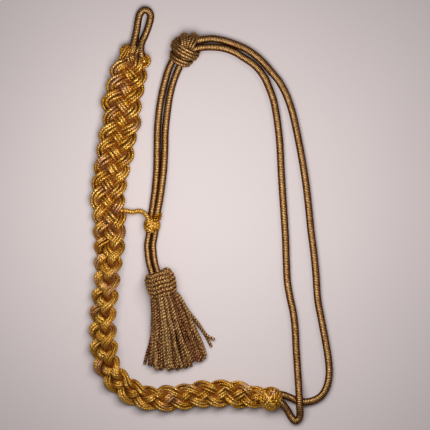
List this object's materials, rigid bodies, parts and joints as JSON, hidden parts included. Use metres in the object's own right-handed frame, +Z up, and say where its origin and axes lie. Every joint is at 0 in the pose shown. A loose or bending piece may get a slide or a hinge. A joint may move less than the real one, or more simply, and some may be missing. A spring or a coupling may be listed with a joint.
{
  "type": "aiguillette",
  "caption": "Flat gold plait with a button loop, turning a corner to a wound knot; plain cords rise from it to a slide knot and drop to a tassel.",
  "frame": {"origin": "On the surface that the aiguillette lies on, under the middle of the button loop's eye", "axes": "+Z up from the surface it lies on, +Y along the plait towards the button loop, +X from the plait towards the long cords"},
  "size_m": [0.227, 0.3867, 0.026],
  "materials": {
    "bright_gold_cord": "bright metallic thread, softly glittering",
    "antique_gold_cord": "fine metal wire wound round a core, darker gold, satin",
    "tassel_thread": "twisted metallic thread, brownish gold, dull"
  },
  "bodies": {
    "root": {"button_loop": "antique_gold_cord", "cord_inner": "antique_gold_cord", "cord_outer": "antique_gold_cord", "drop_cord_left": "antique_gold_cord", "drop_cord_right": "antique_gold_cord", "tassel_cord_left": "antique_gold_cord", "tassel_cord_right": "antique_gold_cord", "slide_knot": "antique_gold_cord", "connector_cord": "bright_gold_cord", "plait": "bright_gold_cord", "end_knot": "bright_gold_cord", "binding_knot": "bright_gold_cord", "tassel_head": "tassel_thread", "tassel_skirt": "tassel_thread"}
  },
  "joints": []
}
